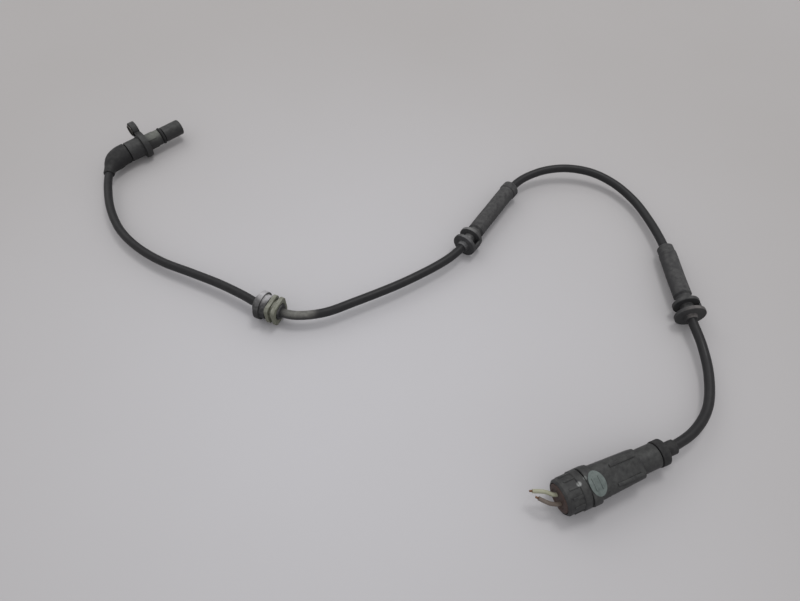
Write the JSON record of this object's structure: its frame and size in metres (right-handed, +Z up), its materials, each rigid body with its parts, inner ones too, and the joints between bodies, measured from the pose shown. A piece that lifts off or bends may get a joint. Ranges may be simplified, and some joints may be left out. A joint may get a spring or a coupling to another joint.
{
  "type": "abs wheel speed sensor",
  "caption": "Wheel speed sensor with flanged probe, elbow boot, cable, clip, two guide grommets and a plugged-in connector.",
  "frame": {"origin": "on the surface the part lies on, under the middle of the sensor's head (probe, flange and elbow boot)", "axes": "+X along the probe towards its sensing tip, +Z up from the surface, +Y to the side the bolting ear leans to; the cable leaves towards -Y"},
  "size_m": [0.266, 0.3878, 0.0215],
  "materials": {
    "black_plastic": "moulded glass-filled nylon, slightly glossy",
    "black_rubber": "matt moulded rubber",
    "cable_sheath": "satin extruded sheath",
    "grey_plastic": "matt olive grey moulding",
    "steel": "machined",
    "lock_plastic": "matt grey-green moulding",
    "seal_rubber": "soft silicone",
    "yellow_insulation": "satin wire insulation",
    "brown_insulation": "satin wire insulation",
    "bare_copper": "stranded copper",
    "core_insulation": "satin wire insulation",
    "tinned_copper": "tin plating",
    "magnet": "sintered and plated",
    "chip_resin": "moulded epoxy",
    "carrier_plastic": "matt moulding"
  },
  "bodies": {
    "root": {"sensor_body": "black_plastic", "probe_cap": "black_plastic", "o_ring": "black_rubber", "bolt_bush": "steel", "elbow_boot": "black_rubber", "ic_carrier": "carrier_plastic", "sensor_chip": "chip_resin", "bias_magnet": "magnet", "chip_lead_1": "tinned_copper", "chip_lead_2": "tinned_copper", "lead_crimp_1": "tinned_copper", "lead_crimp_2": "tinned_copper", "head_core_1": "core_insulation", "head_core_2": "core_insulation", "cable": "cable_sheath", "clip": "grey_plastic", "clip_bush": "black_rubber", "grommet_1": "black_rubber", "grommet_2": "black_rubber", "plug_housing": "black_plastic", "lock_slide": "lock_plastic", "interface_seal": "seal_rubber", "socket_housing": "black_plastic", "wire_seal": "seal_rubber", "cable_gland": "black_rubber", "plug_core_1": "core_insulation", "plug_core_2": "core_insulation", "plug_pin_1": "tinned_copper", "plug_pin_2": "tinned_copper", "socket_terminal_1": "tinned_copper", "socket_terminal_2": "tinned_copper", "brown_wire": "brown_insulation", "yellow_wire": "yellow_insulation", "brown_wire_strands": "bare_copper", "yellow_wire_strands": "bare_copper"}
  },
  "joints": []
}
